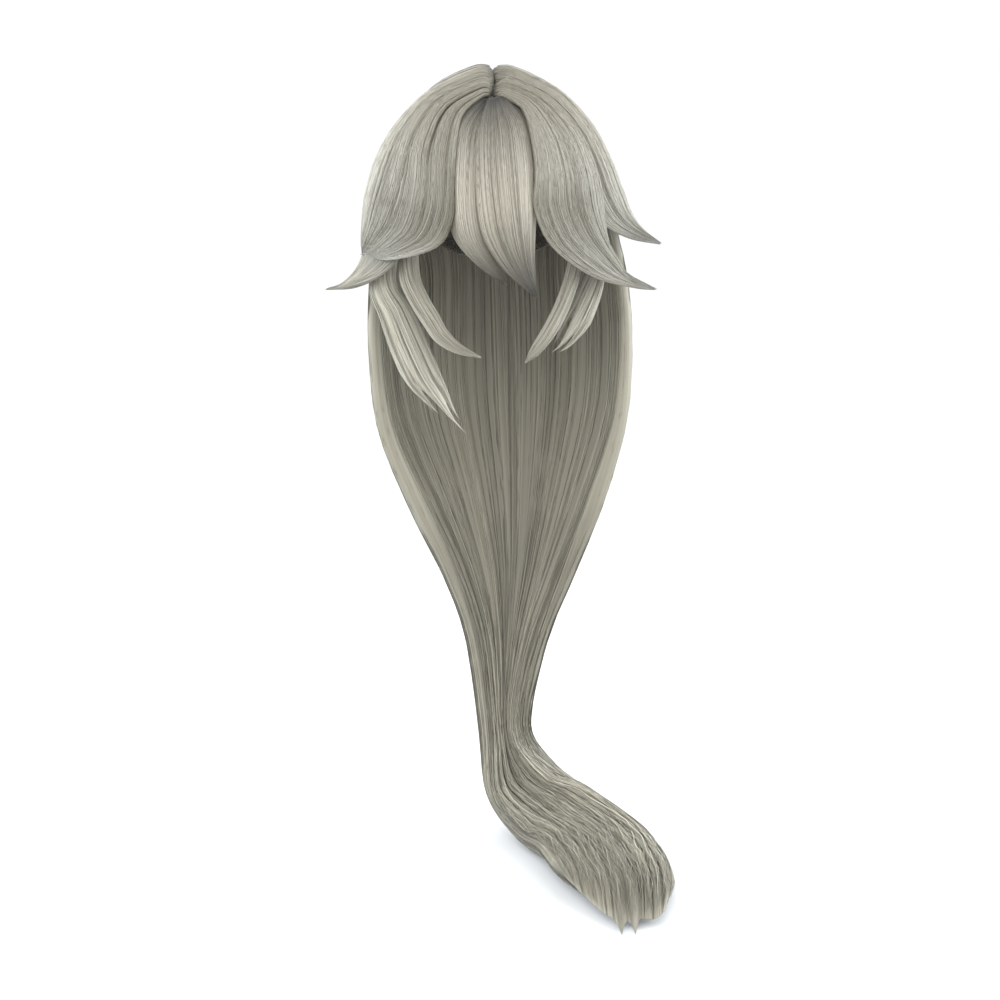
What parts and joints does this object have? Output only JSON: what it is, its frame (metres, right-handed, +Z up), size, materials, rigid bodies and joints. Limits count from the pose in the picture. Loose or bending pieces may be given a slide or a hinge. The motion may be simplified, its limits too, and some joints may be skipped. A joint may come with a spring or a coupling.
{
  "type": "long wig",
  "caption": "Long straight ash-grey wig with a centre parting, pointed fringe, bangs that flick outwards, curved cheek locks and back hair that draws together into a trailing tail.",
  "frame": {"origin": "inside of the cap at its top, where the top of the head meets it", "axes": "+Z up, the face opening looks along -Y, +X to the right of someone who looks at the face opening"},
  "size_m": [0.3098, 0.2978, 0.7582],
  "materials": {
    "hair": "smooth combed synthetic fibre with a soft sheen",
    "cap_net": "matt knitted net"
  },
  "bodies": {
    "root": {"cap": "cap_net", "fringe_main": "hair", "fringe_point": "hair", "bang_left_upper": "hair", "bang_left_lower": "hair", "bang_right_lower": "hair", "bang_right_upper": "hair", "cheek_lock_left": "hair", "cheek_lock_right": "hair", "side_lock_left": "hair", "side_lock_right": "hair", "back_left": "hair", "back_centre": "hair", "back_right": "hair"}
  },
  "joints": []
}
